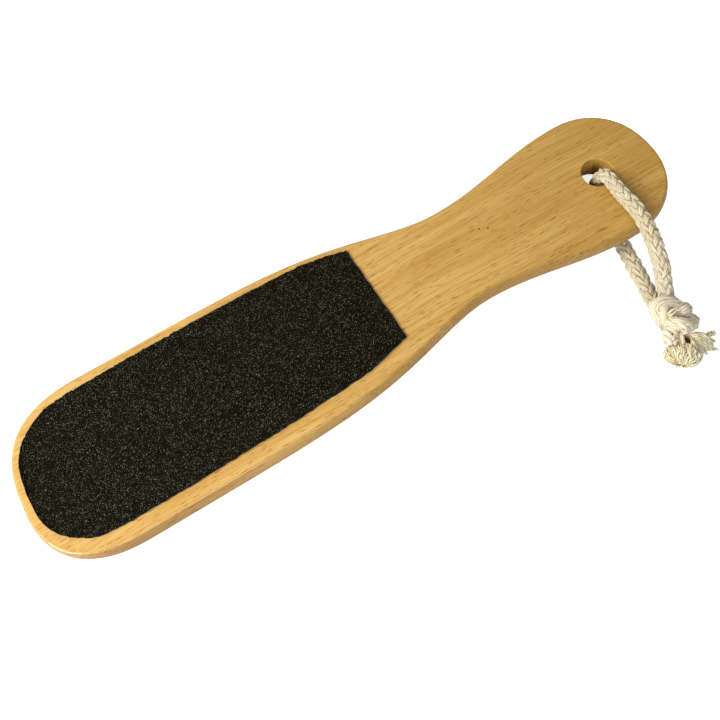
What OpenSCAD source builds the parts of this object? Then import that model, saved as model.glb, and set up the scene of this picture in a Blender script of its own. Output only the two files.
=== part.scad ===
// Foot file: a wooden paddle with an abrasive sheet on each face and a knotted hanging cord.
// The paddle lies with the toe of its lower sheet on the table and its handle on the cord's lower strand.
// X runs from toe to handle, Z is up, and the origin is under the middle of the paddle.

/* [Paddle] */
// Length from toe to handle end
total_l = 265; // [255:1:285]
// Greatest width of the blade
blade_w = 65; // [56:1:72]
// Width of the neck
neck_w = 39.5; // [32:0.5:46]
// Greatest width of the handle
handle_w = 54.5; // [48:0.5:60]
// Thickness of the wood
wood_t = 10; // [8:0.5:12]
// Length over which the toe rounds off
toe_round_l = 36; // [30:1:50]
// Distance of the neck from the handle end
neck_to_end = 87; // [75:1:95]
// Distance of the handle's widest place from the handle end
handle_to_end = 27; // [25:1:36]
// Radius of the rounded edges
edge_r = 0.8; // [0.5:0.1:2.5]
// How far the side wall crowns out at half thickness
side_crown = 1.4; // [0.4:0.1:1.8]

/* [Hanging hole] */
// Diameter of the hole
hole_d = 12.2; // [12:0.1:15]
// Distance of the hole's axis from the handle end
hole_to_end = 25.5; // [22:0.5:32]
// Chamfer on both rims of the hole
hole_chamfer = 0.2; // [0.1:0.1:0.8]

/* [Abrasive sheets] */
// Distance of the straight cut from the toe
sheet_cut_x = 142; // [120:1:150]
// Bare wood between the sheet and the outline at the toe
margin_toe = 4.2; // [3:0.1:7]
// Bare wood between the sheet and the outline along the flanks
margin_side = 6.1; // [4:0.1:8]
// Thickness of the adhesive film
adhesive_t = 0.1; // [0.05:0.05:0.2]
// Thickness of the backing
backing_t = 0.35; // [0.2:0.05:0.6]
// Thickness of the coarse grain on the upper face
coarse_grit_t = 0.5; // [0.3:0.05:0.8]
// Thickness of the fine grain on the lower face
fine_grit_t = 0.3; // [0.2:0.05:0.5]
// How far the grain stops short of the backing's edge
grain_edge = 0.3; // [0.1:0.1:1]

/* [Hanging cord] */
// Diameter of the cord
cord_d = 6; // [5:0.1:6.2]
// Clearance between the cord and the faces of the wood
cord_gap = 0.5; // [0.4:0.1:1]
// Diameter of the cord where it is drawn tight in the knot
knot_cord_d = 5.8; // [5:0.1:6]
// Radius of the first wrap's path
knot_first_r = 4.2; // [3.8:0.1:4.4]
// Radius of the last wrap's path
knot_last_r = 3.5; // [3:0.1:4.2]
// Diameter of the two strands inside the wraps, taken together
knot_core_d = 7.6; // [7:0.1:9]
// Turns that the knot wraps round the two strands
knot_turns = 1.75; // [1.5:0.25:1.75]
// Greatest diameter of the frayed end that points at the viewer
tail_near_d = 12.4; // [9:0.1:12.6]
// Greatest diameter of the frayed end that sprays sideways
tail_side_d = 9.2; // [7:0.1:10]

/* [Hidden] */
overrun = 1;

// Roundness of the toe and of the handle end: 2 is an ellipse, more is blunter
toe_power = 2.6;
end_power = 2.2;
// Above 1 the blade keeps its width for longer before it narrows
flank_power = 2.6;
toe_steps = 12;
flank_steps = 12;
swell_steps = 7;
end_steps = 10;
edge_steps = 3;
crown_steps = 4;

neck_x = total_l - neck_to_end;
handle_x = total_l - handle_to_end;
hole_x = total_l - hole_to_end;

// The lower sheet's toe and the cord under the handle set the tilt of the resting paddle
fine_stack = adhesive_t + backing_t + fine_grit_t;
rest_toe_x = margin_toe + grain_edge;
rest_tilt = asin((cord_d + cord_gap - fine_stack) / (hole_x - rest_toe_x));
rest_lift = fine_stack * cos(rest_tilt) - rest_toe_x * sin(rest_tilt);
centre_x = total_l / 2 * cos(rest_tilt) - wood_t / 2 * sin(rest_tilt);
hole_rest_x = hole_x * cos(rest_tilt) - wood_t / 2 * sin(rest_tilt) - centre_x;

// The cord's centre line, from the knot under the handle, up through the hole and back over the top.
// Places are from the hole's axis, in the table's plane, and heights are above the table.
loop_route = [
    [-10.4, -51.8, 4.8],
    [-9.2, -48.2, 4.1],
    [-7.5, -43.2, 3.3],
    [-6.1, -38, 3],
    [-5, -33, 3],
    [-3.9, -27.5, 3],
    [-3.1, -21, 3],
    [-2.2, -15.5, 3],
    [-0.9, -11, 3],
    [0, -7.1, 3],
    [0.6, -4, 3.8],
    [1, -1.8, 6.1],
    [1.2, -1, 9.2],
    [1.2, -1, 13.8],
    [1, -1.8, 16.9],
    [0.6, -4, 19.2],
    [0, -7.1, 20],
    [-0.7, -11, 20],
    [-1.1, -16, 20],
    [-1.3, -22.5, 20],
    [-2.4, -29, 19.8],
    [-3.9, -35, 18.8],
    [-5.1, -40, 17],
    [-6.3, -44.5, 14.9],
    [-7.7, -48.5, 12.8],
    [-9, -52, 11.4]
];

// The knot's two wraps drift from start to end, and each lies square to the wrap direction
knot_start = [-8.9, -54, 7.4];
knot_end = [-8.8, -65.9, 7.2];
knot_wrap_way = [-0.35, -0.94, 0];
tail_near_start = [-13.2, -64.5, 7.2];
tail_near_end = [-17, -76.4, 6.6];
tail_side_start = [-7.2, -67.4, 6.6];
tail_side_end = [-3, -77.2, 5];

cord_sides = 12;
route_steps = 2;
wrap_sides = 10;
wrap_steps_per_turn = 16;

// A frayed end in outline, from its tie to its tip: share of its greatest radius, share of its length
tuft_shares = [
    [0.50, 0.00],
    [0.53, 0.12],
    [0.66, 0.30],
    [0.82, 0.50],
    [0.95, 0.70],
    [1.00, 0.84],
    [0.93, 0.94],
    [0.74, 0.99],
    [0.45, 1.00]
];

// One flank of the paddle, from toe tip to handle end
toe_arc = [
    for (i = [0:toe_steps - 1])
        let (a = 90 * i / toe_steps)
        [toe_round_l * (1 - pow(cos(a), 2 / toe_power)), blade_w / 2 * pow(sin(a), 2 / toe_power)]
];
narrowing = [
    for (i = [0:flank_steps - 1])
        let (u = i / flank_steps)
        [
            toe_round_l + (neck_x - toe_round_l) * u,
            neck_w / 2 + (blade_w - neck_w) / 2 * (1 + cos(180 * pow(u, flank_power))) / 2
        ]
];
swell = [
    for (i = [0:swell_steps - 1])
        let (u = i / swell_steps)
        [
            neck_x + (handle_x - neck_x) * u,
            neck_w / 2 + (handle_w - neck_w) / 2 * (1 - cos(180 * u)) / 2
        ]
];
end_arc = [
    for (i = [0:end_steps])
        let (a = 90 * i / end_steps)
        [handle_x + handle_to_end * pow(sin(a), 2 / end_power), handle_w / 2 * pow(cos(a), 2 / end_power)]
];
flank = concat(toe_arc, narrowing, swell, end_arc);
last = len(flank) - 1;
outline = concat(
    [for (p = flank) [p.x, -p.y]],
    [for (i = [last - 1:-1:1]) flank[i]]
);

function unit(v) = v / norm(v);

// A closed outline drawn in by its own distance at each point
function drawn_in(points, distances) = [
    for (i = [0:len(points) - 1])
        let (
            n = len(points),
            along = unit(points[(i + 1) % n] - points[(i + n - 1) % n])
        )
        points[i] + distances[i] * [-along.y, along.x]
];

function same_for(points, distance) = [for (p = points) distance];

// The bare margin grows from the toe towards the flanks
function margin_at(x) = margin_side - (margin_side - margin_toe) * pow(max(0, 1 - x / toe_round_l), 2);

// How far the crowned side wall lies inside the outline at a height
function crown_in(z) = side_crown * pow(2 * z / wood_t - 1, 2);

// A side wall from the lower face to the upper one, as heights and how far each is drawn in
lower_edge = [
    for (i = [0:edge_steps])
        let (a = 90 * i / edge_steps, z = edge_r * (1 - cos(a)))
        [z, crown_in(z) + edge_r * (1 - sin(a))]
];
crowned_wall = [
    for (i = [1:crown_steps - 1])
        let (z = edge_r + (wood_t - 2 * edge_r) * i / crown_steps)
        [z, crown_in(z)]
];
side_wall = concat(
    lower_edge,
    crowned_wall,
    [for (i = [edge_steps:-1:0]) [wood_t - lower_edge[i][0], lower_edge[i][1]]]
);

// Skin over rings of equal length, closed at both ends
module skin(rings) {
    n = len(rings[0]);
    count = len(rings);
    polyhedron(
        points = [for (ring = rings) each ring],
        faces = concat(
            [[for (i = [0:n - 1]) i]],
            [
                for (k = [0:count - 2], i = [0:n - 1])
                    let (a = k * n + i, b = k * n + (i + 1) % n)
                    each [[a, a + n, b + n], [a, b + n, b]]
            ],
            [[for (i = [n - 1:-1:0]) (count - 1) * n + i]]
        ),
        convexity = 6
    );
}

// A route through the given points, with more points on smooth curves between them
function smooth_point(p, q, r, s, u) =
    0.5 * (2 * q + (r - p) * u + (2 * p - 5 * q + 4 * r - s) * u * u + (3 * q - p - 3 * r + s) * u * u * u);

function smoothed(route, steps) = let (n = len(route)) concat(
    [
        for (i = [0:n - 2], j = [0:steps - 1])
            smooth_point(route[max(i - 1, 0)], route[i], route[i + 1], route[min(i + 2, n - 1)], j / steps)
    ],
    [route[n - 1]]
);

// A round tube along a route, whose rings are turned upright by the side direction
module tube(route, radius, sides, side_way) {
    n = len(route);
    skin([
        for (i = [0:n - 1])
            let (
                forward = unit(route[min(i + 1, n - 1)] - route[max(i - 1, 0)]),
                across = unit(side_way - (side_way * forward) * forward),
                up = cross(forward, across)
            )
            [
                for (j = [0:sides - 1])
                    let (a = 360 * (j + 0.5) / sides)
                    route[i] + radius * (cos(a) * across + sin(a) * up)
            ]
    ]);
}

// Turns a shape that stands on the origin to run from one point towards another
module run_along(from, towards) {
    way = towards - from;
    translate(from)
        rotate([0, acos(way.z / norm(way)), atan2(way.y, way.x)])
            children();
}

module in_rest_pose() {
    translate([-centre_x, 0, rest_lift])
        rotate([0, -rest_tilt, 0])
            children();
}

module beside_hole() {
    translate([hole_rest_x, 0, 0])
        children();
}

module paddle() {
    color("#d8a35c")
        in_rest_pose()
            difference() {
                skin([
                    for (level = side_wall)
                        [for (p = drawn_in(outline, same_for(outline, level[1]))) [p.x, p.y, level[0]]]
                ]);
                translate([hole_x, 0, 0])
                    hole_cut();
            }
}

module hole_cut() {
    translate([0, 0, -overrun])
        cylinder(h = wood_t + 2 * overrun, d = hole_d, $fn = 96);
    rim_r = hole_d / 2;
    for (upper = [0, 1])
        translate([0, 0, upper * wood_t])
            mirror([0, 0, upper])
                translate([0, 0, -overrun])
                    cylinder(
                        h = overrun + hole_chamfer,
                        r1 = rim_r + hole_chamfer + overrun,
                        r2 = rim_r,
                        $fn = 96
                    );
}

// One layer of a sheet: edge is how much further than the sheet it is drawn in
module sheet_layer(z, thickness, edge) {
    in_rest_pose()
        translate([0, 0, z])
            linear_extrude(height = thickness)
                intersection() {
                    polygon(drawn_in(outline, [for (p = outline) margin_at(p.x) + edge]));
                    translate([0, -blade_w / 2])
                        square([sheet_cut_x - edge, blade_w]);
                }
}

module coarse_adhesive() {
    color("#b9a77f")
        sheet_layer(wood_t, adhesive_t, 0);
}

module coarse_backing() {
    color("#2a2724")
        sheet_layer(wood_t + adhesive_t, backing_t, 0);
}

module coarse_grit() {
    color("#1d1b18")
        sheet_layer(wood_t + adhesive_t + backing_t, coarse_grit_t, grain_edge);
}

module fine_adhesive() {
    color("#b9a77f")
        sheet_layer(-adhesive_t, adhesive_t, 0);
}

module fine_backing() {
    color("#2a2724")
        sheet_layer(-adhesive_t - backing_t, backing_t, 0);
}

module fine_grit() {
    color("#26231f")
        sheet_layer(-fine_stack, fine_grit_t, grain_edge);
}

module cord_loop() {
    color("#e8dfc4")
        beside_hole()
            tube(smoothed(loop_route, route_steps), cord_d / 2, cord_sides, [1, 0, 0]);
}

// The wraps climb round a core that stands for the two strands inside them
module knot() {
    way = unit(knot_wrap_way);
    across = unit(cross(way, [0, 0, 1]));
    up = cross(across, way);
    steps = knot_turns * wrap_steps_per_turn;
    wrap_route = [
        for (i = [0:steps])
            let (
                u = i / steps,
                a = 360 * i / wrap_steps_per_turn,
                r = knot_first_r + (knot_last_r - knot_first_r) * u
            )
            knot_start + (knot_end - knot_start) * u + r * (cos(a) * across + sin(a) * up)
    ];
    color("#e4d9bb")
        beside_hole() {
            tube(wrap_route, knot_cord_d / 2, wrap_sides, way);
            hull() {
                translate(knot_start)
                    sphere(d = knot_core_d, $fn = 24);
                translate(knot_end)
                    sphere(d = knot_core_d, $fn = 24);
            }
        }
}

module frayed_end(from, towards, diameter) {
    length = norm(towards - from);
    color("#ece0bd")
        beside_hole()
            run_along(from, towards)
                rotate_extrude($fn = 48)
                    polygon(concat(
                        [[0, 0]],
                        [for (s = tuft_shares) [s[0] * diameter / 2, s[1] * length]],
                        [[0, length]]
                    ));
}

module tail_near() {
    frayed_end(tail_near_start, tail_near_end, tail_near_d);
}

module tail_side() {
    frayed_end(tail_side_start, tail_side_end, tail_side_d);
}

paddle();
coarse_adhesive();
coarse_backing();
coarse_grit();
fine_adhesive();
fine_backing();
fine_grit();
cord_loop();
knot();
tail_near();
tail_side();
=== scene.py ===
import math
import random

import bpy
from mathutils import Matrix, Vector, noise


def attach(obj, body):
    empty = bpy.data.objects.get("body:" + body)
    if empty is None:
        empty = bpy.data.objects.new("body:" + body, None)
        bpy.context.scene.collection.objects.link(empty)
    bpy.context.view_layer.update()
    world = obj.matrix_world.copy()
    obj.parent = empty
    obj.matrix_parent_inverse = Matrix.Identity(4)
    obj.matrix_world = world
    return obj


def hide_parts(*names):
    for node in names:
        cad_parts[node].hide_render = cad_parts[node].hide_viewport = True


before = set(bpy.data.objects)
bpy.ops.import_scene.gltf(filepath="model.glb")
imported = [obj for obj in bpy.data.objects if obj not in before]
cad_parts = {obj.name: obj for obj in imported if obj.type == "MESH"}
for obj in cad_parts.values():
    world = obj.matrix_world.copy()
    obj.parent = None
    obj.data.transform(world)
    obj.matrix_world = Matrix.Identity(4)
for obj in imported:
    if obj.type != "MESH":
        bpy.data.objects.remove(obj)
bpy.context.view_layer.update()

# The camera stands where the photograph was taken from: close above the near flank, looking steeply
# down at the middle of the paddle, with the toe at lower left and the handle at upper right.
bpy.ops.object.camera_add(
    location=(-0.04051, -0.0905, 0.2257),
    rotation=(math.radians(20.536), math.radians(2.649), math.radians(-30.636)),
)
camera = bpy.context.object
camera.data.lens = 32.39
camera.data.sensor_width = 36
camera.data.clip_start = 0.01
bpy.context.scene.camera = camera


# The paddle is one board of beech, sawn to its outline, rounded over along both faces, drilled for the
# cord, sanded and varnished. It lies on the toe of its lower sheet and, at the handle, on the cord.
total_length = 0.265
blade_width = 0.065
neck_width = 0.0395
handle_width = 0.0545
wood_thickness = 0.010
toe_round_length = 0.036
neck_x = total_length - 0.087
handle_x = total_length - 0.027
hole_x = total_length - 0.0255
hole_diameter = 0.0122
toe_power, end_power, flank_power = 2.6, 2.2, 2.6  # 2 is a plain ellipse or cosine, more is squarer
toe_steps, narrowing_steps, swell_steps, end_steps = 40, 40, 24, 32
side_crown = 0.0014
crown_cuts = (0.18, 0.34, 0.5, 0.66, 0.82)  # shares of the thickness
crown_bulges = ((0.33, 0.58), (0.17, 0.31), (0.01, 0.11))  # half of each band's height, its share of the crown
edge_radius = 0.0008
hole_rim_radius = 0.0004
rest_tilt = math.radians(1.402058)
rest_lift = 0.00063967
centre_x = 0.132338
hole_rest_x = 0.106968


def flank_points():
    """Half of the outline, from the toe to the handle's end: round toe, narrowing, swell, round end."""
    points = []
    for i in range(toe_steps):
        a = math.radians(90) * i / toe_steps
        points.append((
            toe_round_length * (1 - math.cos(a) ** (2 / toe_power)),
            blade_width / 2 * math.sin(a) ** (2 / toe_power),
        ))
    for i in range(narrowing_steps):
        u = i / narrowing_steps
        points.append((
            toe_round_length + (neck_x - toe_round_length) * u,
            neck_width / 2 + (blade_width - neck_width) / 2 * (1 + math.cos(math.pi * u ** flank_power)) / 2,
        ))
    for i in range(swell_steps):
        u = i / swell_steps
        points.append((
            neck_x + (handle_x - neck_x) * u,
            neck_width / 2 + (handle_width - neck_width) / 2 * (1 - math.cos(math.pi * u)) / 2,
        ))
    for i in range(end_steps + 1):
        a = math.radians(90) * i / end_steps
        points.append((
            handle_x + (total_length - handle_x) * math.sin(a) ** (2 / end_power),
            handle_width / 2 * max(0, math.cos(a)) ** (2 / end_power),
        ))
    return points


def drawn_in(points, distance_at):
    """A flank moved towards the middle by a distance that may change along it."""
    moved = []
    for i, (x, y) in enumerate(points):
        before = points[i - 1] if i else (points[1][0], -points[1][1])
        after = points[i + 1] if i + 1 < len(points) else (points[-2][0], -points[-2][1])
        along = Vector((after[0] - before[0], after[1] - before[1])).normalized()
        d = distance_at(x)
        moved.append((x + d * along.y, y - d * along.x))
    moved[0] = (moved[0][0], 0)
    moved[-1] = (moved[-1][0], 0)
    return moved


def lay_down(piece):
    """Tips a piece that was built flat into the paddle's resting place."""
    bpy.ops.object.select_all(action="DESELECT")
    piece.select_set(True)
    bpy.context.view_layer.objects.active = piece
    piece.rotation_euler = (0, -rest_tilt, 0)
    piece.location = (-centre_x, 0, rest_lift)
    bpy.ops.object.transform_apply(location=True, rotation=True, scale=True)


flank = flank_points()
sawn = drawn_in(flank, lambda x: side_crown)
outline = [(x, -y) for x, y in sawn] + sawn[-2:0:-1]
bpy.ops.object.select_all(action="DESELECT")
bpy.ops.mesh.primitive_circle_add(vertices=len(outline), radius=blade_width, fill_type="NGON")
paddle = bpy.context.object
paddle.name = "paddle_wood"
for vertex, (x, y) in zip(paddle.data.vertices, outline):
    vertex.co = (x, y, 0)
bpy.ops.object.mode_set(mode="EDIT")
bpy.ops.mesh.select_all(action="SELECT")
bpy.ops.mesh.extrude_region_move(TRANSFORM_OT_translate={"value": (0, 0, wood_thickness)})
bpy.ops.mesh.select_all(action="SELECT")
bpy.ops.mesh.normals_make_consistent(inside=False)
for height in crown_cuts:
    bpy.ops.mesh.select_all(action="SELECT")
    bpy.ops.mesh.bisect(plane_co=(0, 0, wood_thickness * height), plane_no=(0, 0, 1))
for half_band, bulge in crown_bulges:
    bpy.ops.mesh.select_all(action="DESELECT")
    bpy.ops.object.mode_set(mode="OBJECT")
    for vertex in paddle.data.vertices:
        vertex.select = abs(vertex.co.z / wood_thickness - 0.5) < half_band
    bpy.ops.object.mode_set(mode="EDIT")
    bpy.ops.transform.shrink_fatten(value=side_crown * bulge)
bpy.ops.mesh.select_all(action="DESELECT")
bpy.ops.object.mode_set(mode="OBJECT")

# Both faces' edges are rounded over
for edge in paddle.data.edges:
    heights = [paddle.data.vertices[v].co.z for v in edge.vertices]
    edge.select = max(heights) < 1e-6 or min(heights) > wood_thickness - 1e-6
bpy.ops.object.mode_set(mode="EDIT")
bpy.ops.mesh.bevel(offset=edge_radius, offset_type="OFFSET", segments=7, profile=0.5, affect="EDGES")
bpy.ops.object.mode_set(mode="OBJECT")

# The hole is drilled, and both of its rims are broken a little
bpy.ops.mesh.primitive_cylinder_add(
    vertices=96, radius=hole_diameter / 2, depth=3 * wood_thickness, location=(hole_x, 0, wood_thickness / 2)
)
drill = bpy.context.object
bpy.ops.object.select_all(action="DESELECT")
paddle.select_set(True)
bpy.context.view_layer.objects.active = paddle
drilling = paddle.modifiers.new("drilling", "BOOLEAN")
drilling.operation = "DIFFERENCE"
drilling.solver = "EXACT"
drilling.object = drill
bpy.ops.object.modifier_apply(modifier=drilling.name)
bpy.data.objects.remove(drill)
for edge in paddle.data.edges:
    ends = [paddle.data.vertices[v].co for v in edge.vertices]
    on_rim = all(abs(math.hypot(p.x - hole_x, p.y) - hole_diameter / 2) < 2e-5 for p in ends)
    edge.select = on_rim and abs(ends[0].z - ends[1].z) < 1e-6
for vertex in paddle.data.vertices:
    vertex.select = False
for face in paddle.data.polygons:
    face.select = False
for edge in paddle.data.edges:
    if edge.select:
        for v in edge.vertices:
            paddle.data.vertices[v].select = True
bpy.context.tool_settings.mesh_select_mode = (False, True, False)
bpy.ops.object.mode_set(mode="EDIT")
bpy.ops.mesh.bevel(offset=hole_rim_radius, offset_type="OFFSET", segments=3, affect="EDGES")
bpy.ops.mesh.select_all(action="DESELECT")
bpy.context.tool_settings.mesh_select_mode = (False, False, True)
bpy.ops.object.mode_set(mode="OBJECT")

# A narrow inset keeps the flat faces' shading level right up to the rounded edges
for face in paddle.data.polygons:
    face.select = abs(face.normal.z) > 0.9999 and face.area > 1e-5
bpy.ops.object.mode_set(mode="EDIT")
bpy.ops.mesh.inset(thickness=0.0002)
bpy.ops.object.mode_set(mode="OBJECT")
bpy.ops.object.shade_smooth_by_angle(angle=math.radians(40))
lay_down(paddle)


def colour(red, green, blue):
    """A colour as it is seen, 0 to 255, turned into light."""
    shares = [c / 255 for c in (red, green, blue)]
    return tuple(s / 12.92 if s <= 0.04045 else ((s + 0.055) / 1.055) ** 2.4 for s in shares) + (1,)


def add(tree, kind, inputs=None, **settings):
    """Adds a shader node. An input is a number, a colour or the output that feeds it."""
    made = tree.nodes.new("ShaderNode" + kind)
    for name, value in settings.items():
        setattr(made, name, value)
    for socket, value in (inputs or {}).items():
        if isinstance(value, bpy.types.NodeSocket):
            tree.links.new(value, made.inputs[socket])
        else:
            made.inputs[socket].default_value = value
    return made


def blend(tree, factor, low, high, way="MIX"):
    """Mixes two colours, or multiplies the first by the second, and gives the output."""
    made = add(tree, "Mix", {0: factor, 6: low, 7: high}, data_type="RGBA", blend_type=way)
    return made.outputs[2]


def ramp(tree, factor, *stops):
    made = add(tree, "ValToRGB", {"Fac": factor})
    elements = made.color_ramp.elements
    while len(elements) < len(stops):
        elements.new(0.5)
    for element, (place, value) in zip(elements, stops):
        element.position = place
        element.color = value
    return made.outputs["Color"]


def new_material(name):
    made = bpy.data.materials.new(name)
    made.use_nodes = True
    return made, made.node_tree, made.node_tree.nodes["Principled BSDF"]


def new_group(name, takes, gives):
    """An empty shader node group with its sockets, as (group, inputs, outputs)."""
    made = bpy.data.node_groups.new(name, "ShaderNodeTree")
    for way, sockets in (("INPUT", takes), ("OUTPUT", gives)):
        for label, kind in sockets:
            made.interface.new_socket(name=label, in_out=way, socket_type="NodeSocket" + kind)
    return made, made.nodes.new("NodeGroupInput").outputs, made.nodes.new("NodeGroupOutput").inputs


# Soft blotches between two colours, for the wood, the paper, the glue and the cotton alike
mottled, given, result = new_group(
    "mottled",
    (("Place", "Vector"), ("Scale", "Float"), ("Low", "Color"), ("High", "Color")),
    (("Colour", "Color"),),
)
blotches = add(mottled, "TexNoise", {"Vector": given["Place"], "Scale": given["Scale"], "Detail": 3})
share = add(mottled, "MapRange", {"Value": blotches.outputs["Fac"], "From Min": 0.32, "From Max": 0.68})
mottled.links.new(blend(mottled, share.outputs[0], given["Low"], given["High"]), result["Colour"])

# Beech: places are measured in millimetres along the board, and the grain sways a little
beech, tree, surface = new_material("varnished_beech")
place = add(tree, "TexCoord").outputs["Object"]
board = add(tree, "Mapping", {
    "Vector": place, "Rotation": (0, rest_tilt, 0), "Scale": (1000, 1000, 1000),
}).outputs[0]
drift = add(tree, "TexNoise", {"Vector": board, "Scale": 0.018, "Detail": 1})
sway = add(tree, "VectorMath", {0: drift.outputs["Color"], 1: (0.5, 0.5, 0.5)}, operation="SUBTRACT")
swayed = add(tree, "VectorMath", {0: sway.outputs[0], 1: (0, 3, 3)}, operation="MULTIPLY")
grain_way = add(tree, "VectorMath", {0: board, 1: swayed.outputs[0]}).outputs[0]


def along_grain(length, width, depth):
    """The board's own measure, so that one unit is this long, wide and deep in millimetres."""
    stretch = (1 / length, 1 / width, 1 / depth)
    return add(tree, "VectorMath", {0: grain_way, 1: stretch}, operation="MULTIPLY").outputs[0]


def ray_flecks(length, width, depth, size):
    """Dark spindles along the grain: where they are, and how dark each one is."""
    stretched = along_grain(length, width, depth)
    cells = add(tree, "TexVoronoi", {"Vector": stretched, "Scale": 1, "Randomness": 0.85})
    away = cells.outputs["Distance"]
    spindle = add(tree, "MapRange", {
        "Value": away, "From Min": size * 0.5, "From Max": size, "To Min": 1, "To Max": 0,
    })
    own = add(tree, "SeparateColor", {0: cells.outputs["Color"]})
    seen = add(tree, "MapRange", {"Value": own.outputs[0], "From Max": 0.4, "To Min": 0.3})
    mask = add(tree, "Math", {0: spindle.outputs[0], 1: seen.outputs[0]}, operation="MULTIPLY")
    return mask.outputs[0], own.outputs[1]


broad = add(tree, "Group", {
    "Place": along_grain(150, 5, 8), "Scale": 1, "Low": colour(187, 143, 65), "High": colour(199, 158, 82),
}, node_tree=mottled)
fibres = add(tree, "TexNoise", {
    "Vector": along_grain(30, 0.55, 0.5), "Scale": 1, "Detail": 3, "Roughness": 0.65,
})
fibre_shade = ramp(tree, fibres.outputs["Fac"], (0.36, colour(232, 222, 206)), (0.6, colour(255, 255, 255)))
toned = blend(tree, 1, broad.outputs["Colour"], fibre_shade, "MULTIPLY")

# The lamps alone don't give the wood's tones as they are in the photo, so painted light and shade carry part
# of
# them: the upper face is painted paler and bluer from the handle to the toe, a painted pool of light with a
# painted sheen, and the side walls and the underside are painted darker, most of all round the toe, as painted
# shade.
along_board = add(tree, "SeparateXYZ", {0: board}).outputs[0]
# Painted light: the upper face grows paler and bluer towards the toe, a painted pool of light and sheen
painted_light_towards_toe = add(tree, "MapRange", {"Value": along_board, "From Min": 132, "From Max": -40})
facing = add(tree, "SeparateXYZ", {0: add(tree, "TexCoord").outputs["Normal"]})
painted_light_on_face = add(tree, "Math", {
    0: facing.outputs[2], 1: painted_light_towards_toe.outputs[0],
}, operation="MULTIPLY", use_clamp=True)
at_toe = add(tree, "MapRange", {"Value": along_board, "From Min": -70, "From Max": -105})
# Painted shade: the walls and the underside are darker than the face, and darker still round the toe
painted_wall_shade = blend(tree, at_toe.outputs[0], (0.90, 0.92, 0.94, 1), (0.72, 0.62, 0.47, 1))
painted_light_and_shade = blend(tree, painted_light_on_face.outputs[0], painted_wall_shade, (1.14, 1.22, 1.70, 1))
flecked = add(tree, "VectorMath", {0: toned, 1: painted_light_and_shade}, operation="MULTIPLY").outputs[0]
# Ray flecks of three lengths, and the two small dark specks on the neck
for fleck_size in ((9.5, 0.8, 1.8, 0.21), (8.0, 0.7, 1.6, 0.20), (6.0, 0.6, 1.4, 0.20)):
    mask, depth = ray_flecks(*fleck_size)
    shade = ramp(
        tree, depth, (0, colour(232, 206, 176)), (0.6, colour(208, 166, 124)), (1, colour(162, 118, 82)),
    )
    flecked = blend(tree, mask, flecked, shade, "MULTIPLY")
for speck in ((0.0556, 0.0039, 0.0152), (0.0586, 0.0025, 0.0153)):
    away = add(tree, "VectorMath", {0: place, 1: speck}, operation="DISTANCE")
    dot = add(tree, "MapRange", {
        "Value": away.outputs["Value"], "From Min": 0.0002, "From Max": 0.0005, "To Min": 0.9, "To Max": 0,
    })
    flecked = blend(tree, dot.outputs[0], flecked, colour(70, 40, 20))
tree.links.new(flecked, surface.inputs["Base Color"])
skin = add(tree, "Bump", {"Height": fibres.outputs["Fac"], "Strength": 0.07, "Distance": 0.0002})
tree.links.new(skin.outputs[0], surface.inputs["Normal"])
surface.inputs["Roughness"].default_value = 0.5
surface.inputs["Specular IOR Level"].default_value = 0.1
surface.inputs["Coat Weight"].default_value = 0.45
surface.inputs["Coat Roughness"].default_value = 0.18
paddle.data.materials.append(beech)
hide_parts("paddle")
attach(paddle, "file")


# Each face carries an abrasive sheet: a film of glue, a stiff dark backing and a coat of crushed grain in
# resin. The upper, coarse sheet was glued on slightly askew, and its knife-cut edges are a little ragged.
sheet_cut_x = 0.1422
margin_toe, margin_side = 0.0042, 0.0061
glue_thickness = 0.0001
backing_thickness = 0.00035
grain_edge = 0.00015
knife_waver = 0.0004
# Where the hand-cut edge strays from its margin: how much, at which x, and how far that reaches
edge_strays = ((0.0007, 0.008, 0.006), (-0.0003, 0.055, 0.010), (-0.0007, 0.127, 0.012))


def bare_margin(x):
    """Bare wood beside the sheet. The hand-cut edge strays a little: narrow at the toe, wide by the cut."""
    margin = margin_side - (margin_side - margin_toe) * max(0, 1 - x / toe_round_length) ** 2
    for amount, middle, reach in edge_strays:
        margin += amount * math.exp(-((x - middle) / reach) ** 2)
    return margin


def sheet_flank(edge):
    """Where a layer's edge runs: rows of x and half width, from the toe to the cut."""
    inner = drawn_in(flank, lambda x: edge + bare_margin(x))
    return [p for p in inner if p[0] < sheet_cut_x + 0.01]


def half_width_at(rows, x):
    for (x0, y0), (x1, y1) in zip(rows, rows[1:]):
        if x0 <= x <= x1 and x1 > x0:
            return y0 + (y1 - y0) * (x - x0) / (x1 - x0)
    return rows[0][1] if x < rows[0][0] else rows[-1][1]


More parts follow.
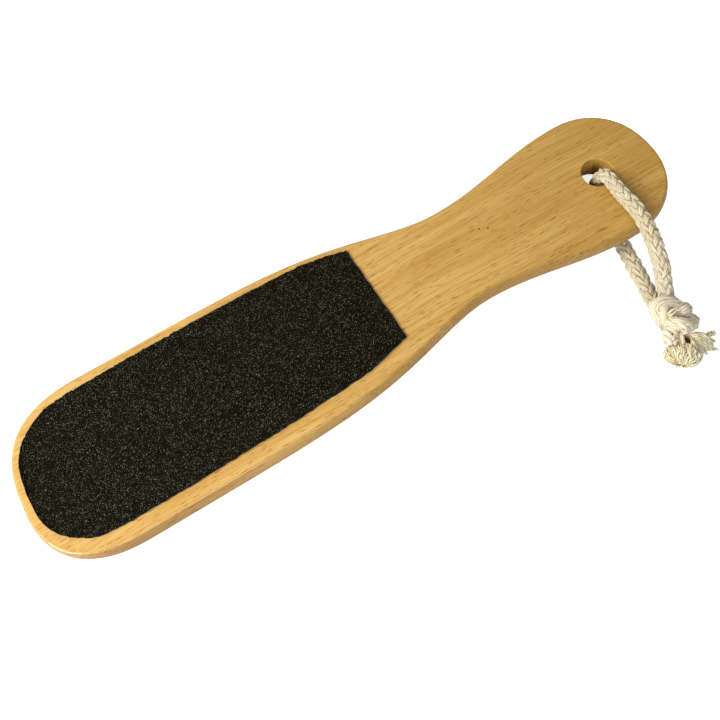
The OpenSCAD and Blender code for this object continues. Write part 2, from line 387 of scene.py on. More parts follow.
def sheet_layer(name, edge, low, high, columns, rows_across, rough_top, ragged, askew, seed):
    """
    One layer of a sheet between two heights over the lower face. Its top may be rough, and its rim follows
    the waver of the knife and is as ragged as given.
    """
    chance = random.Random(seed)
    flank_rows = sheet_flank(edge)
    start, stop = flank_rows[0][0], sheet_cut_x - edge
    bpy.ops.object.select_all(action="DESELECT")
    bpy.ops.mesh.primitive_grid_add(x_subdivisions=columns, y_subdivisions=rows_across, size=1)
    layer = bpy.context.object
    layer.name = name
    turn, shift = askew
    for vertex in layer.data.vertices:
        along, across = vertex.co.x + 0.5, vertex.co.y * 2
        x = start + (stop - start) * along
        y = half_width_at(flank_rows, x) * across
        at_cut, at_side = along > 0.9999, abs(across) > 0.9999
        if at_cut or at_side:
            fray = ragged * noise.noise(Vector((x * 1500, y * 1500, seed)))
            fray += knife_waver * noise.noise(Vector((x * 420, y * 420, 7)))
            height = 0.7
            if at_cut:
                x += fray
            if at_side:
                y += fray if across > 0 else -fray
        else:
            x += rough_top * chance.uniform(-0.35, 0.35)
            y += rough_top * chance.uniform(-0.35, 0.35)
            height = chance.random()
        x, y = x * math.cos(turn) - y * math.sin(turn), x * math.sin(turn) + y * math.cos(turn) + shift
        vertex.co = (x, y, high - rough_top * height)
    bpy.ops.object.mode_set(mode="EDIT")
    bpy.ops.mesh.select_all(action="SELECT")
    bpy.ops.mesh.region_to_loop()
    bpy.ops.mesh.extrude_edges_move(TRANSFORM_OT_translate={"value": (0, 0, low - high)})
    bpy.ops.object.mode_set(mode="OBJECT")
    for vertex in layer.data.vertices:
        if vertex.select:
            vertex.co.z = low
    bpy.ops.object.mode_set(mode="EDIT")
    bpy.ops.mesh.edge_face_add()
    bpy.ops.mesh.select_all(action="SELECT")
    bpy.ops.mesh.remove_doubles(threshold=0.000001)
    bpy.ops.mesh.normals_make_consistent(inside=False)
    bpy.ops.object.mode_set(mode="OBJECT")
    return layer


def to_lower_face(layer):
    """Turns a layer that was built on the upper face over to the lower one."""
    for vertex in layer.data.vertices:
        vertex.co.z = wood_thickness - vertex.co.z
    layer.data.flip_normals()


# Crushed grain set in resin: dull dark facets, and a few painted bright in the colour as painted glints
crushed, given, result = new_group(
    "crushed_grain",
    (
        ("Place", "Vector"), ("Scale", "Float"), ("Dark", "Color"), ("Dull", "Color"), ("Glint", "Color"),
        ("Glint share", "Float"),
    ),
    (("Colour", "Color"), ("Roughness", "Float"), ("Height", "Float")),
)
grains = add(crushed, "TexVoronoi", {"Vector": given["Place"], "Scale": given["Scale"], "Randomness": 1})
facet = add(crushed, "SeparateColor", {0: grains.outputs["Color"]})
hue = add(crushed, "VectorMath", {
    0: grains.outputs["Color"], 1: (0.8, 0.8, 0.8), 2: (0.6, 0.6, 0.6),
}, operation="MULTIPLY_ADD")
tinged = add(crushed, "VectorMath", {0: given["Dull"], 1: hue.outputs[0]}, operation="MULTIPLY")
dull = blend(crushed, facet.outputs[0], given["Dark"], tinged.outputs[0])
without_glint = add(crushed, "Math", {0: 1.0, 1: given["Glint share"]}, operation="SUBTRACT")
# Painted highlights: the glinting grains are bright in the colour itself
painted_glints = add(crushed, "MapRange", {"Value": facet.outputs[1], "From Min": without_glint.outputs[0]})
satin = add(crushed, "MapRange", {"Value": facet.outputs[2], "To Min": 0.3, "To Max": 0.8})
crushed.links.new(blend(crushed, painted_glints.outputs[0], dull, given["Glint"]), result["Colour"])
crushed.links.new(satin.outputs[0], result["Roughness"])
crushed.links.new(grains.outputs["Distance"], result["Height"])


def grain_material(name, scale, dark, dull, glint, glint_share):
    made, tree, surface = new_material(name)
    place = add(tree, "TexCoord").outputs["Object"]
    grain = add(tree, "Group", {
        "Place": place, "Scale": scale, "Dark": dark, "Dull": dull, "Glint": glint,
        "Glint share": glint_share,
    }, node_tree=crushed)
    tree.links.new(grain.outputs["Colour"], surface.inputs["Base Color"])
    tree.links.new(grain.outputs["Roughness"], surface.inputs["Roughness"])
    bumps = add(tree, "Bump", {"Height": grain.outputs["Height"], "Strength": 0.5, "Distance": 0.0002})
    tree.links.new(bumps.outputs[0], surface.inputs["Normal"])
    surface.inputs["Specular IOR Level"].default_value = 0.01
    return made


def mottled_material(name, scale, low, high, roughness):
    made, tree, surface = new_material(name)
    place = add(tree, "TexCoord").outputs["Object"]
    look = add(tree, "Group", {"Place": place, "Scale": scale, "Low": low, "High": high}, node_tree=mottled)
    tree.links.new(look.outputs["Colour"], surface.inputs["Base Color"])
    surface.inputs["Roughness"].default_value = roughness
    return made


# The last colour and share of each sheet are its painted glints
coarse_grain = grain_material(
    "coarse_black_grain", 6400, colour(0, 0, 0), colour(28, 28, 18), colour(146, 141, 117), 0.065,
)
fine_grain = grain_material(
    "fine_black_grain", 6000, colour(5, 5, 4), colour(28, 27, 22), colour(92, 88, 74), 0.1,
)
paper = mottled_material("sheet_backing", 2500, colour(10, 9, 7), colour(34, 31, 24), 0.95)
glue = mottled_material("sheet_glue", 600, colour(110, 84, 44), colour(150, 118, 68), 0.4)
glued_askew = (math.radians(0.68), 0.00046)  # turned, and moved across
glued_square = (0, 0)
for side, askew, grit_thickness, columns, grain in (
    ("coarse", glued_askew, 0.0005, 360, coarse_grain),
    ("fine", glued_square, 0.0003, 300, fine_grain),
):
    film_top = wood_thickness + glue_thickness
    paper_top = film_top + backing_thickness
    film = sheet_layer(
        side + "_glue", edge=0, low=wood_thickness, high=film_top, columns=90, rows_across=12,
        rough_top=0, ragged=0.0001, askew=askew, seed=1,
    )
    backing = sheet_layer(
        side + "_paper", edge=0, low=film_top, high=paper_top, columns=260, rows_across=24,
        rough_top=0, ragged=0.00012, askew=askew, seed=2,
    )
    grit = sheet_layer(
        side + "_grain", edge=grain_edge, low=paper_top, high=paper_top + grit_thickness,
        columns=columns, rows_across=columns * 2 // 5,
        rough_top=grit_thickness * 0.6, ragged=0.0006, askew=askew, seed=3,
    )
    for layer, node_name, slot_name, material in (
        (film, side + "_adhesive", "adhesive", glue),
        (backing, side + "_backing", "backing", paper),
        (grit, side + "_grit", side + "_grain", grain),
    ):
        if side == "fine":
            to_lower_face(layer)
        lay_down(layer)
        layer.data.materials.append(material)
        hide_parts(node_name)
        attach(layer, "file")


# The hanging cord is plaited from sixteen strands of natural cotton, eight each way round, over two and
# under two. It passes through the hole, lies over and under the handle, and both runs end in the knot.
# All its places are in metres and count x from the middle of the hole.
loop_route = [
    (-0.0104, -0.0518, 0.0048), (-0.0092, -0.0482, 0.0041), (-0.0075, -0.0432, 0.0033),
    (-0.0061, -0.038, 0.003), (-0.005, -0.033, 0.003), (-0.0039, -0.0275, 0.003),
    (-0.0031, -0.021, 0.003), (-0.0022, -0.0155, 0.003), (-0.0009, -0.011, 0.003), (0, -0.0071, 0.003),
    (0.0006, -0.004, 0.0038), (0.001, -0.0018, 0.0061), (0.0012, -0.001, 0.0092),
    (0.0012, -0.001, 0.0138), (0.001, -0.0018, 0.0169), (0.0006, -0.004, 0.0192), (0, -0.0071, 0.02),
    (-0.0007, -0.011, 0.02), (-0.0011, -0.016, 0.02), (-0.0013, -0.0225, 0.02),
    (-0.0024, -0.029, 0.0198), (-0.0039, -0.035, 0.0188), (-0.0051, -0.04, 0.017),
    (-0.0063, -0.0445, 0.0149), (-0.0077, -0.0485, 0.0128), (-0.009, -0.052, 0.0114),
]
# Where it bends over the rim and sags towards the knot, the real cord strays this far from that route
strays = {
    13: (-0.0001, -0.0003, 0), 14: (-0.0004, -0.0006, -0.0003), 15: (-0.0006, -0.0007, -0.0005),
    16: (-0.0006, -0.0004, -0.0003), 17: (-0.0002, 0, -0.0002), 18: (0.0003, 0, -0.0002),
    19: (0.0005, 0, -0.0002), 20: (0.0005, 0, -0.0002), 21: (0.0005, 0, 0), 22: (0.0006, 0, 0),
    23: (0.0007, 0, 0), 24: (0.0006, 0, 0), 25: (0.0006, 0, 0),
}


def beside_hole(points):
    return [Vector((hole_rest_x + x, y, z)) for x, y, z in points]


def runs_along(line):
    """How far along the line each of its points is."""
    runs = [0]
    for a, b in zip(line, line[1:]):
        runs.append(runs[-1] + (b - a).length)
    return runs


def evenly(points, step):
    """A smooth line through the points, cut into even steps."""
    fine = []
    last = len(points) - 1
    for i in range(last):
        p, q, r, s = points[max(i - 1, 0)], points[i], points[i + 1], points[min(i + 2, last)]
        for j in range(12):
            u = j / 12
            fine.append(0.5 * (
                2 * q + (r - p) * u + (2 * p - 5 * q + 4 * r - s) * u * u + (3 * q - p - 3 * r + s) * u ** 3
            ))
    fine.append(points[last])
    runs = runs_along(fine)
    count = max(2, round(runs[-1] / step))
    even, k = [], 0
    for i in range(count + 1):
        goal = runs[-1] * i / count
        while k < len(fine) - 2 and runs[k + 1] < goal:
            k += 1
        share = (goal - runs[k]) / max(runs[k + 1] - runs[k], 1e-9)
        even.append(fine[k].lerp(fine[k + 1], min(max(share, 0), 1)))
    return even


def forwards(line):
    last = len(line) - 1
    return [(line[min(i + 1, last)] - line[max(i - 1, 0)]).normalized() for i in range(last + 1)]


def sides_of(line, first_side):
    """A side direction at each point, carried along the line without twisting."""
    found = []
    side = first_side
    for way in forwards(line):
        side = (side - way * side.dot(way)).normalized()
        found.append(side)
    return found


def at_each(value, line):
    return value if isinstance(value, list) else [value] * len(line)


# Each strand's section is lobed by twisted yarns: how much, and how fast the lobes turn along it
yarn_relief = 0.13
yarn_twist = math.tau / 0.0046


def new_yarns():
    return {"points": [], "faces": [], "uv": [], "crevice_shade": []}


def lay_strand(yarns, line, outward, half_width, half_depth, corners=8, lobes=0, painted_shade=0):
    """
    Adds one strand, flat side outward. Its UV is in millimetres, and its painted crevice shade runs from 0 on
    the crest to 1 underneath, with the strand's own painted shade added: darker, or lighter below 0.
    """
    start = len(yarns["points"])
    runs = runs_along(line)
    widths = at_each(half_width, line)
    depths, painted_shades = at_each(half_depth, line), at_each(painted_shade, line)
    for at, way, out, run, wide, deep, strand_shade in zip(
        line, forwards(line), outward, runs, widths, depths, painted_shades,
    ):
        out = (out - way * out.dot(way)).normalized()
        across = way.cross(out)
        for j in range(corners):
            a = math.tau * j / corners
            swell = 1 + yarn_relief * math.cos(lobes * a + run * yarn_twist) if lobes else 1
            corner = across * (swell * wide * math.cos(a)) + out * (swell * deep * math.sin(a))
            yarns["points"].append(at + corner)
            # Painted shade: darker towards the strand's underside, plus the strand's own painted shade
            yarns["crevice_shade"].append(strand_shade + 0.5 - 0.5 * math.sin(a))
    girth = math.tau * widths[0] * 1000
    for i in range(len(line) - 1):
        for j in range(corners):
            a, b = start + i * corners + j, start + i * corners + (j + 1) % corners
            yarns["faces"].append((a, b, b + corners, a + corners))
            u0, u1 = runs[i] * 1000, runs[i + 1] * 1000
            v0, v1 = girth * j / corners, girth * (j + 1) / corners
            yarns["uv"].append(((u0, v0), (u0, v1), (u1, v1), (u1, v0)))
    top = start + (len(line) - 1) * corners
    for cap in (range(start + corners - 1, start - 1, -1), range(top, top + corners)):
        yarns["faces"].append(tuple(cap))
        yarns["uv"].append(tuple((0, 0) for j in cap))


def plait(yarns, line, first_side, radius, weave, pitch, half_width, half_depth, seed, sizes=None, gap=0.2):
    """
    Sixteen strands round a line, eight each way, over two and under two, none quite like the next. Weave is
    how far they move in and out, and gap is how dark the painted shade between them is.
    """
    ways, sides, runs = forwards(line), sides_of(line, first_side), runs_along(line)
    sizes = sizes or [1] * len(line)
    for hand in (1, -1):
        for k in range(8):
            strand, outward, widths, depths, painted_shade = [], [], [], [], []
            for at, way, side, run, size in zip(line, ways, sides, runs, sizes):
                stray = noise.noise(Vector((run * 110, k * 5.3, seed - hand)))
                loose = noise.noise(Vector((run * 260, k * 3.1, seed + hand)))
                turn = math.tau * (hand * run / pitch + k / 8) + 0.16 * stray
                out = side * math.cos(turn) + way.cross(side) * math.sin(turn)
                over = hand * math.cos(4 * turn - math.pi / 4)
                strand.append(at + out * (size * (radius + weave * over) + 0.00018 * loose))
                outward.append(out)
                widths.append(size * half_width * (1 + 0.12 * over + 0.25 * stray))
                depths.append(size * half_depth * (1 + 0.1 * over + 0.2 * loose))
                # Painted shade: strands are darker where they pass under and lighter where they pass over
                painted_shade.append(gap - 0.35 * over)
            lay_strand(yarns, strand, outward, widths, depths, corners=14, lobes=3, painted_shade=painted_shade)


def make_piece(name, yarns, painted_shade_spots=()):
    """
    The mesh of all the strands laid so far, with their painted crevice shade. Around each recess, a centre and
    a reach, it is painted as dark as shade in a gap.
    """
    mesh = bpy.data.meshes.new(name)
    for i, point in enumerate(yarns["points"]):
        point.z = max(point.z, 0)
        for centre, reach in painted_shade_spots:
            # Painted shade round each recess
            yarns["crevice_shade"][i] += 1.5 * math.exp(-((point - centre).length / reach) ** 2)
    mesh.from_pydata(yarns["points"], [], yarns["faces"])
    layer = mesh.uv_layers.new(name="along_yarn")
    corner = 0
    for face in yarns["uv"]:
        for uv in face:
            layer.data[corner].uv = uv
            corner += 1
    for face in mesh.polygons:
        face.use_smooth = True
    crevice_shade = mesh.attributes.new("crevice_shade", "FLOAT", "POINT")
    for value, depth in zip(crevice_shade.data, yarns["crevice_shade"]):
        value.value = depth
    piece = bpy.data.objects.new(name, mesh)
    bpy.context.collection.objects.link(piece)
    return piece


# Twisted cotton yarn: fine furrows across each strand, bumped and with painted shade, faint stains, a nap, and
# warm painted shade in the gaps between strands and under them
yarn_look, given, result = new_group(
    "twisted_yarn",
    (
        ("Along", "Vector"), ("Place", "Vector"), ("Depth", "Float"), ("Low", "Color"), ("High", "Color"),
        ("Relief", "Float"),
    ),
    (("Colour", "Color"), ("Normal", "Vector")),
)
furrow_rate = (math.tau / 3, math.tau / 0.7, 0)  # one every 3 mm along the strand and every 0.7 mm round it
twist = add(yarn_look, "VectorMath", {0: given["Along"], 1: furrow_rate}, operation="DOT_PRODUCT")
ridge = add(yarn_look, "Math", {0: twist.outputs["Value"]}, operation="SINE")
stain = add(yarn_look, "Group", {
    "Place": given["Place"], "Scale": 90, "Low": given["Low"], "High": given["High"],
}, node_tree=mottled)
# Painted shade along the twist furrows
furrow_shade = add(yarn_look, "MapRange", {"Value": ridge.outputs[0], "From Min": -1, "To Min": 0.87})
furrow_shaded = blend(yarn_look, 1, stain.outputs["Colour"], furrow_shade.outputs[0], "MULTIPLY")
half_depth = add(yarn_look, "MapRange", {"Value": given["Depth"], "From Max": 2})
# Painted shade: warmer and darker the deeper the crevice shade
gap_shade = ramp(
    yarn_look, half_depth.outputs[0],
    (0.2, colour(255, 255, 255)), (0.5, colour(206, 170, 116)), (0.95, colour(112, 66, 30)),
)
fuzz = add(yarn_look, "TexNoise", {"Vector": given["Place"], "Scale": 5000, "Detail": 3})
height = add(yarn_look, "Math", {0: ridge.outputs[0], 1: fuzz.outputs["Fac"]}, operation="ADD")
nap = add(yarn_look, "Bump", {"Height": height.outputs[0], "Strength": given["Relief"], "Distance": 0.0003})
yarn_look.links.new(blend(yarn_look, 1, furrow_shaded, gap_shade, "MULTIPLY"), result["Colour"])
yarn_look.links.new(nap.outputs[0], result["Normal"])


def cotton_material(name, low, high, relief=0.42):
    made, tree, surface = new_material(name)
    look = add(tree, "Group", {
        "Along": add(tree, "UVMap", uv_map="along_yarn").outputs[0],
        "Place": add(tree, "TexCoord").outputs["Object"],
        "Depth": add(tree, "Attribute", attribute_name="crevice_shade").outputs["Fac"],
        "Low": low, "High": high, "Relief": relief,
    }, node_tree=yarn_look)
    tree.links.new(look.outputs["Colour"], surface.inputs["Base Color"])
    tree.links.new(look.outputs["Normal"], surface.inputs["Normal"])
    surface.inputs["Roughness"].default_value = 0.9
    surface.inputs["Sheen Weight"].default_value = 0.08
    surface.inputs["Subsurface Weight"].default_value = 0.35
    surface.inputs["Subsurface Radius"].default_value = (1.0, 0.8, 0.55)
    surface.inputs["Subsurface Scale"].default_value = 0.0008
    return made


# One cotton in three tones as painted light and shade: the hanging cord is painted darker and the knot
# lighter, and the frayed yarns a little darker and yellower, with less relief
shaded_cord_cotton = cotton_material("shaded_cord_cotton", colour(200, 184, 148), colour(208, 196, 167))
lit_knot_cotton = cotton_material("lit_knot_cotton", colour(228, 212, 180), colour(234, 223, 199))
loose_cotton = cotton_material("loose_cotton", colour(223, 209, 168), colour(232, 222, 189), 0.2)

loop_points = beside_hole(loop_route)
strayed = [p + Vector(strays.get(i, (0, 0, 0))) for i, p in enumerate(loop_points)]
inside_knot = beside_hole([(-0.0113, -0.0554, 0.0060), (-0.0087, -0.0552, 0.0095)])
loop_line = evenly([inside_knot[0]] + strayed + [inside_knot[1]], 0.00045)
rim_bend = strayed[15]
loop_sizes = [0.91 - 0.10 * math.exp(-((p - rim_bend).length / 0.005) ** 2) for p in loop_line]
core_sizes = [0.0016 * size for size in loop_sizes]
crosswise, upwards = Vector((1, 0, 0)), Vector((0, 0, 1))
yarns = new_yarns()
plait(
    yarns, loop_line, crosswise, radius=0.00174, weave=0.00068, pitch=0.031,
    half_width=0.00086, half_depth=0.00076, seed=5, sizes=loop_sizes,
)
# The core inside is painted deep in shade
lay_strand(yarns, loop_line, sides_of(loop_line, crosswise), core_sizes, core_sizes, corners=10, painted_shade=0.6)
cord_loop = make_piece("plaited_cord", yarns)
cord_loop.data.materials.append(shaded_cord_cotton)


# The knot ties both runs of the cord together. It is the same cord drawn tight, so that its strands lie
# nearly straight: a wide wrap over the front, the cord's end showing on the right, and a second wrap below.
first_wrap = [
    (-0.0036, -0.0601, 0.0050), (-0.0062, -0.0593, 0.0085), (-0.0083, -0.0576, 0.0113),
    (-0.0105, -0.0558, 0.0130), (-0.0129, -0.0545, 0.0136), (-0.0148, -0.0544, 0.0132),
    (-0.0161, -0.0553, 0.0124), (-0.0158, -0.0572, 0.0110), (-0.0153, -0.0589, 0.0092),
    (-0.0141, -0.0600, 0.0068), (-0.0117, -0.0608, 0.0042), (-0.0070, -0.0608, 0.0032),
    (-0.0040, -0.0604, 0.0034), (-0.0032, -0.0602, 0.0046),
]
right_lobe = [
    (-0.0092, -0.0593, 0.0090), (-0.0093, -0.0600, 0.0120), (-0.0077, -0.0601, 0.0122),
    (-0.0058, -0.0601, 0.0108), (-0.0039, -0.0599, 0.0080), (-0.0027, -0.0595, 0.0055),
]
inner_strand = [
    (-0.0108, -0.0568, 0.0126), (-0.0138, -0.0569, 0.0140), (-0.0156, -0.0578, 0.0140),
    (-0.0158, -0.0593, 0.0124), (-0.0153, -0.0605, 0.0102), (-0.0149, -0.0614, 0.0075),
]
popped_strand = [
    (-0.0143, -0.0596, 0.0128), (-0.0147, -0.0591, 0.0148), (-0.0135, -0.0589, 0.0155),
    (-0.0122, -0.0590, 0.0153), (-0.0121, -0.0596, 0.0150), (-0.0136, -0.0600, 0.0151),
    (-0.0146, -0.0601, 0.0147), (-0.0141, -0.0599, 0.0128),
]
slack_strands = [
    [
        (-0.0163, -0.0628, 0.0104), (-0.0161, -0.0637, 0.0113), (-0.0158, -0.0649, 0.0114),
        (-0.0154, -0.0660, 0.0109),
    ],
    [
        (-0.0176, -0.0632, 0.0099), (-0.0179, -0.0639, 0.0109), (-0.0180, -0.0651, 0.0114),
        (-0.0180, -0.0662, 0.0112),
    ],
    [
        (-0.0147, -0.0662, 0.0102), (-0.0162, -0.0664, 0.0110), (-0.0177, -0.0667, 0.0114),
        (-0.0184, -0.0672, 0.0110),
    ],
    [
        (-0.0190, -0.0650, 0.0098), (-0.0193, -0.0657, 0.0108), (-0.0193, -0.0668, 0.0112),
        (-0.0191, -0.0679, 0.0104),
    ],
    [
        (-0.0157, -0.0677, 0.0098), (-0.0172, -0.0680, 0.0106), (-0.0183, -0.0684, 0.0104),
    ],
]
second_wrap = [
    (-0.0131, -0.0603, 0.0080), (-0.0140, -0.0615, 0.0114), (-0.0134, -0.0632, 0.0126),
    (-0.0120, -0.0648, 0.0124), (-0.0096, -0.0656, 0.0106), (-0.0062, -0.0650, 0.0080),
    (-0.0041, -0.0642, 0.0056), (-0.0034, -0.0630, 0.0034), (-0.0057, -0.0616, 0.0030),
    (-0.0085, -0.0604, 0.0032), (-0.0114, -0.0600, 0.0050),
]
stump = [
    (-0.0108, -0.0619, 0.0070), (-0.0134, -0.0628, 0.0084), (-0.0155, -0.0641, 0.0090),
    (-0.0166, -0.0656, 0.0088), (-0.0171, -0.0671, 0.0080),
]
pale_strand = [
    (-0.0128, -0.0655, 0.0098), (-0.0139, -0.0672, 0.0104), (-0.0145, -0.0685, 0.0103),
    (-0.0151, -0.0701, 0.0092),
]
between_wraps = [
    (-0.0119, -0.0601, 0.0128), (-0.0098, -0.0613, 0.0121), (-0.0072, -0.0623, 0.0106),
    (-0.0042, -0.0635, 0.0084),
]
knot_middle = beside_hole([(-0.0093, -0.0563, 0.0070), (-0.0091, -0.0623, 0.0066)])


def outward_of(line):
    """Directions away from the knot's middle line, for the wraps that lie on it."""
    a, b = knot_middle
    found = []
    for at in line:
        share = min(max((at - a).dot(b - a) / (b - a).length_squared, 0), 1)
        found.append((at - a.lerp(b, share)).normalized())
    return found


def drawn_tight(yarns, points, half_width, half_depth, ridges, seed):
    """The cord drawn tight: strands side by side round a flattened core, with a slow twist."""
    pitch = 0.05
    line = evenly(beside_hole(points), 0.0005)
    ways, runs = forwards(line), runs_along(line)
    outs = [(o - w * o.dot(w)).normalized() for o, w in zip(outward_of(line), ways)]
    # The flattened core is painted deep in shade, the strands over it only a little
    lay_strand(yarns, line, outs, half_width * 0.75, half_depth * 0.75, corners=12, painted_shade=0.6)
    thick = math.tau * math.sqrt((half_width ** 2 + half_depth ** 2) / 2) / ridges / 2
    for k in range(ridges):
        strand, outward, widths = [], [], []
        for at, way, out, run in zip(line, ways, outs, runs):
            across = way.cross(out)
            wander = noise.noise(Vector((run * 180, k * 2.7, seed)))
            lift = 0.00025 * noise.noise(Vector((run * 120, k * 4.1, seed + 9)))
            turn = math.tau * (k / ridges + run / pitch) + 0.4 * wander
            wide, deep = half_width - thick * 0.6 + lift, half_depth - thick * 0.6 + lift
            strand.append(at + across * (wide * math.cos(turn)) + out * (deep * math.sin(turn)))
            away = across * math.cos(turn) / half_width + out * math.sin(turn) / half_depth
            outward.append(away.normalized())
            widths.append(thick * (1.05 + 0.35 * wander))
        lay_strand(yarns, strand, outward, widths, thick * 0.95, corners=12, lobes=3, painted_shade=0.1)


def laid_on(yarns, points, thickness, step=0.0004):
    """One loose strand of the cord, lying where the points say."""
    line = evenly(beside_hole(points), step)
    # Loose strands are painted a little lighter
    lay_strand(yarns, line, outward_of(line), thickness, thickness * 0.9, corners=12, painted_shade=-0.1)


yarns = new_yarns()
drawn_tight(yarns, first_wrap, half_width=0.0024, half_depth=0.0020, ridges=11, seed=11)
drawn_tight(yarns, right_lobe, half_width=0.0021, half_depth=0.0016, ridges=9, seed=13)
laid_on(yarns, inner_strand, 0.00125)
laid_on(yarns, between_wraps, 0.001)
laid_on(yarns, popped_strand, 0.00044, step=0.0002)
for points in slack_strands:
    laid_on(yarns, points, 0.00095, step=0.0003)
wrap_line = evenly(beside_hole(second_wrap), 0.0005)
plait(
    yarns, wrap_line, upwards, radius=0.00158, weave=0.00042, pitch=0.027,
    half_width=0.0008, half_depth=0.00066, seed=12,
)
# The core under the second wrap is painted deep in shade
lay_strand(yarns, wrap_line, outward_of(wrap_line), 0.0014, 0.0014, corners=10, painted_shade=0.6)
stump_line = evenly(beside_hole(stump), 0.0005)
# The stump's gaps have deeper painted shade, so that its loops stand out
plait(
    yarns, stump_line, crosswise, radius=0.0013, weave=0.0005, pitch=0.018,
    half_width=0.00082, half_depth=0.0007, seed=8, gap=0.75,
)
core = evenly(knot_middle, 0.001)
# The knot's middle core is painted deep in shade
lay_strand(yarns, core, sides_of(core, crosswise), 0.0032, 0.0030, corners=16, painted_shade=0.6)

# Painted shade for the deep hollow between both frayed ends, and the small gaps beside it: where, and how far
# each one reaches
shaded_hollows = (
    ((-0.0125, -0.0688, 0.0086), 0.0012), ((-0.0120, -0.0702, 0.0084), 0.0012),
    ((-0.0171, -0.0664, 0.0112), 0.0008), ((-0.0140, -0.0656, 0.0104), 0.0009),
    ((-0.0152, -0.0678, 0.0096), 0.0009),
)
painted_shade_spots = [(beside_hole([at])[0], reach) for at, reach in shaded_hollows]
knot = make_piece("cord_knot", yarns, painted_shade_spots)
knot.data.materials.append(lit_knot_cotton)


# Past the knot both cord ends have come apart into their cotton yarns: one curls round like a brush that
# faces the viewer, and the other sprays sideways in a few tapering clumps.
yarn_radius = 0.00027
curl = 0.00035


def in_ball(chance):
    """A random point of a ball of radius 1."""
    while True:
        p = Vector([chance.uniform(-1, 1) for n in range(3)])
        if p.length <= 1:
            return p


def lay_yarn(yarns, points, chance, painted_shade):
    """One thin yarn through the points, a little curly, never below the table."""
    phases = [chance.uniform(0, math.tau) for n in range(3)]
    pace = chance.uniform(0.7, 1.3)
    curled = []
    for i, at in enumerate(points):
        waver = Vector([math.sin(pace * i + phase) for phase in phases]) * (curl * min(1, i / 5))
        curled.append(at + waver)
        curled[-1].z = max(curled[-1].z, 2 * yarn_radius)
    line = evenly(curled, 0.0005)
    size = yarn_radius * chance.uniform(0.8, 1.25)
    widths = [size * (1 - 0.3 * (i / len(line)) ** 4) for i in range(len(line))]
    lay_strand(yarns, line, sides_of(line, Vector((0.3, 0.2, 1))), widths, widths, corners=6, painted_shade=painted_shade)


# The brush: yarns run from its root round an egg-shaped shell, packed with more yarn that isn't seen singly
chance = random.Random(21)
yarns = new_yarns()
brush_root, brush_heart = beside_hole([(-0.0161, -0.0677, 0.0078), (-0.0158, -0.0729, 0.0062)])
sideways, onwards = Vector((0.70, -0.714, 0)), Vector((-0.714, -0.70, 0))
brush_half_width, brush_half_height, brush_half_length = 0.0061, 0.0046, 0.0043
brush_yarns = 210
for k in range(brush_yarns):
    way_round = math.tau * (k + chance.random()) / brush_yarns
    shell = chance.uniform(0.86, 1.0)
    stop = math.radians(chance.uniform(95, 165))
    swirl = chance.uniform(-0.8, 0.1)
    points = []
    for i in range(15):
        turn = stop * i / 14
        heading = way_round + swirl * i / 14
        rim = sideways * (brush_half_width * math.cos(heading))
        rim += upwards * (brush_half_height * math.sin(heading))
        at = brush_heart + (rim * math.sin(turn) - onwards * (brush_half_length * math.cos(turn))) * shell
        points.append(brush_root.lerp(at, min(1, i / 3)))
    # Painted shade: yarns deeper in the shell are darker, the outer ones a little lighter
    lay_yarn(yarns, points, chance, painted_shade=2.5 * (1 - shell) - 0.25)
shares = [y / 10 for y in range(-10, 11)]
packed = [brush_heart + onwards * (0.0036 * share) for share in shares]
rounding = [math.sqrt(max(0.02, 1 - share ** 2)) for share in shares]
lay_strand(
    yarns, packed, sides_of(packed, upwards), [0.0047 * size for size in rounding],
    [0.0036 * size for size in rounding], corners=24,
)
tuft_near = make_piece("frayed_end_near", yarns, painted_shade_spots)
tuft_near.data.materials.append(loose_cotton)

# The spray, clump by clump: how many yarns, how wide it is at its root and at its tip, and the way it runs
clumps = [
    (16, 0.0009, 0.0008, [
        (-0.0118, -0.0682, 0.0082), (-0.0095, -0.0691, 0.0092), (-0.0071, -0.0706, 0.0090),
        (-0.0056, -0.0722, 0.0080), (-0.0033, -0.0720, 0.0074), (-0.0010, -0.0719, 0.0068),
    ]),
    (12, 0.0008, 0.0004, [
        (-0.0119, -0.0685, 0.0080), (-0.0096, -0.0698, 0.0090), (-0.0073, -0.0718, 0.0084),
        (-0.0054, -0.0735, 0.0072), (-0.0036, -0.0739, 0.0062), (-0.0026, -0.0749, 0.0054),
    ]),
    (14, 0.0008, 0.0004, [
        (-0.0117, -0.0688, 0.0078), (-0.0095, -0.0705, 0.0086), (-0.0077, -0.0726, 0.0078),
        (-0.0059, -0.0745, 0.0066), (-0.0041, -0.0758, 0.0054),
    ]),
    (16, 0.0008, 0.0003, [
        (-0.0114, -0.0694, 0.0072), (-0.0095, -0.0715, 0.0078), (-0.0077, -0.0739, 0.0066),
        (-0.0053, -0.0759, 0.0050), (-0.0029, -0.0774, 0.0042),
    ]),
    (12, 0.0007, 0.0003, [
        (-0.0112, -0.0699, 0.0070), (-0.0098, -0.0724, 0.0072), (-0.0086, -0.0745, 0.0058),
        (-0.0071, -0.0767, 0.0044),
    ]),
    (12, 0.0007, 0.0003, [
        (-0.0114, -0.0701, 0.0070), (-0.0105, -0.0726, 0.0072), (-0.0096, -0.0747, 0.0056),
        (-0.0088, -0.0765, 0.0042),
    ]),
    (16, 0.0006, 0.0004, [
        (-0.0111, -0.0700, 0.0082), (-0.0113, -0.0723, 0.0086), (-0.0115, -0.0748, 0.0076),
        (-0.0115, -0.0768, 0.0060), (-0.0122, -0.0779, 0.0044),
    ]),
    (10, 0.0004, 0.0005, [
        (-0.0110, -0.0690, 0.0088), (-0.0114, -0.0709, 0.0094), (-0.0121, -0.0726, 0.0092),
        (-0.0123, -0.0747, 0.0084), (-0.0127, -0.0765, 0.0070),
    ]),
]
chance = random.Random(22)
yarns = new_yarns()
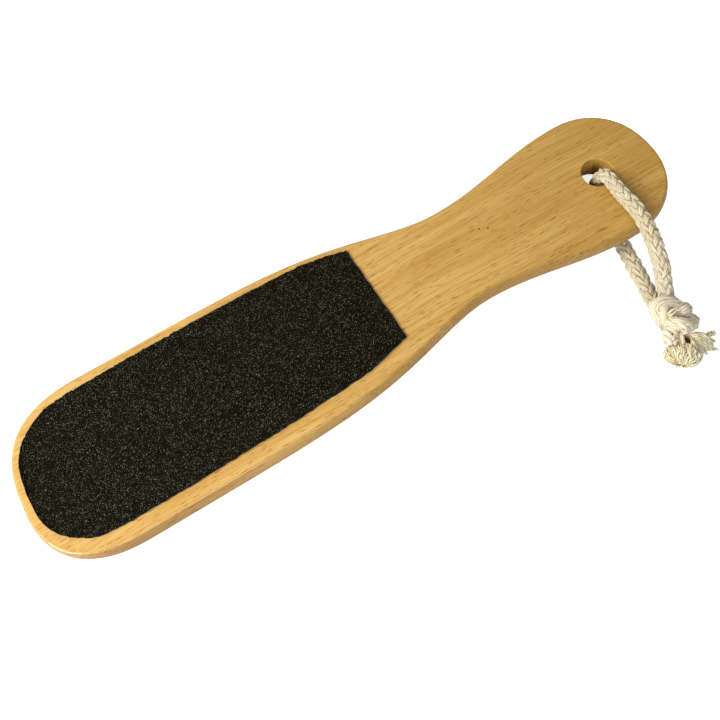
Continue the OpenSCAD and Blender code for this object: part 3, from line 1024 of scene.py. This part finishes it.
for count, root_spread, tip_spread, way in clumps:
    middle = evenly(beside_hole(way), 0.001)
    packed = evenly(beside_hole(way[:-1]), 0.0005)
    widening = tip_spread - root_spread
    wide = [root_spread + widening * i / len(packed) for i in range(len(packed))]
    lay_strand(yarns, packed, sides_of(packed, upwards), wide, [0.8 * size for size in wide], corners=10)
    for k in range(count):
        aside = in_ball(chance)
        reach = len(middle) - chance.choice((0, 0, 1, 1, 2))
        points = [
            at + aside * (root_spread + widening * i / len(middle)) for i, at in enumerate(middle[:reach])
        ]
        # Painted shade: yarns lower in a clump are a little darker, all a little lighter than the cord
        lay_yarn(yarns, points, chance, painted_shade=0.2 * (1 - aside.z) - 0.25)
laid_on(yarns, pale_strand, 0.00085)
tuft_side = make_piece("frayed_end_side", yarns, painted_shade_spots)
tuft_side.data.materials.append(loose_cotton)

for piece, node_name in (
    (cord_loop, "cord_loop"), (knot, "knot"), (tuft_near, "tail_near"), (tuft_side, "tail_side"),
):
    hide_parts(node_name)
    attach(piece, "hanging_cord")
[tuple(p) for p in evenly(loop_points, 0.003)]


# A plain white table under the file, and soft light: a wide lamp on the toe's side, a weaker one in front, a
# low window that only shines back from the toe's edge, and a sky that is dimmer behind the handle. The camera
# sees table and sky as white.
bpy.ops.object.select_all(action="DESELECT")
bpy.ops.mesh.primitive_plane_add(size=3, location=(0, 0, 0))
table = bpy.context.object
table.name = "table"
white, tree, surface = new_material("white_table")
surface.inputs["Base Color"].default_value = (0.68, 0.68, 0.68, 1)
surface.inputs["Roughness"].default_value = 0.9
seen = add(tree, "LightPath")
lift = add(tree, "Math", {0: seen.outputs["Is Camera Ray"], 1: 0.8}, operation="MULTIPLY")
surface.inputs["Emission Color"].default_value = (1, 1, 1, 1)
tree.links.new(lift.outputs[0], surface.inputs["Emission Strength"])
table.data.materials.append(white)

sky = bpy.data.worlds.new("studio_sky")
bpy.context.scene.world = sky
sky.use_nodes = True
tree = sky.node_tree
backdrop = tree.nodes["Background"]
seen = add(tree, "LightPath")
towards = add(tree, "SeparateXYZ", {0: add(tree, "TexCoord").outputs["Generated"]})
dim = add(tree, "MapRange", {
    "Value": towards.outputs[0], "From Min": -1, "From Max": 1, "To Min": 0.58, "To Max": 0.3,
})
level = add(tree, "Mix", {0: seen.outputs["Is Camera Ray"], 2: dim.outputs[0], 3: 1.0}, data_type="FLOAT")
backdrop.inputs["Color"].default_value = (1, 1, 1, 1)
tree.links.new(level.outputs[0], backdrop.inputs["Strength"])

for name, place, size, power, lights, shines in (
    ("wide_lamp", (-0.58, 0.24, 0.42), (0.36, 0.36), 7.1, True, False),
    ("front_lamp", (-0.30, -0.50, 0.45), (0.3, 0.3), 2.2, True, True),
    ("low_window", (-0.57, -0.145, 0.20), (0.3, 0.12), 5.0, False, True),
):
    bpy.ops.object.light_add(type="AREA", location=place)
    lamp = bpy.context.object
    lamp.name = name
    lamp.data.shape = "RECTANGLE"
    lamp.data.size, lamp.data.size_y = size
    lamp.data.energy = power
    lamp.visible_diffuse, lamp.visible_glossy = lights, shines
    lamp.rotation_euler = (Vector((-0.03, 0, 0)) - lamp.location).to_track_quat("-Z", "Y").to_euler()

bpy.context.scene.view_settings.view_transform = "Standard"
bpy.context.view_layer.update()
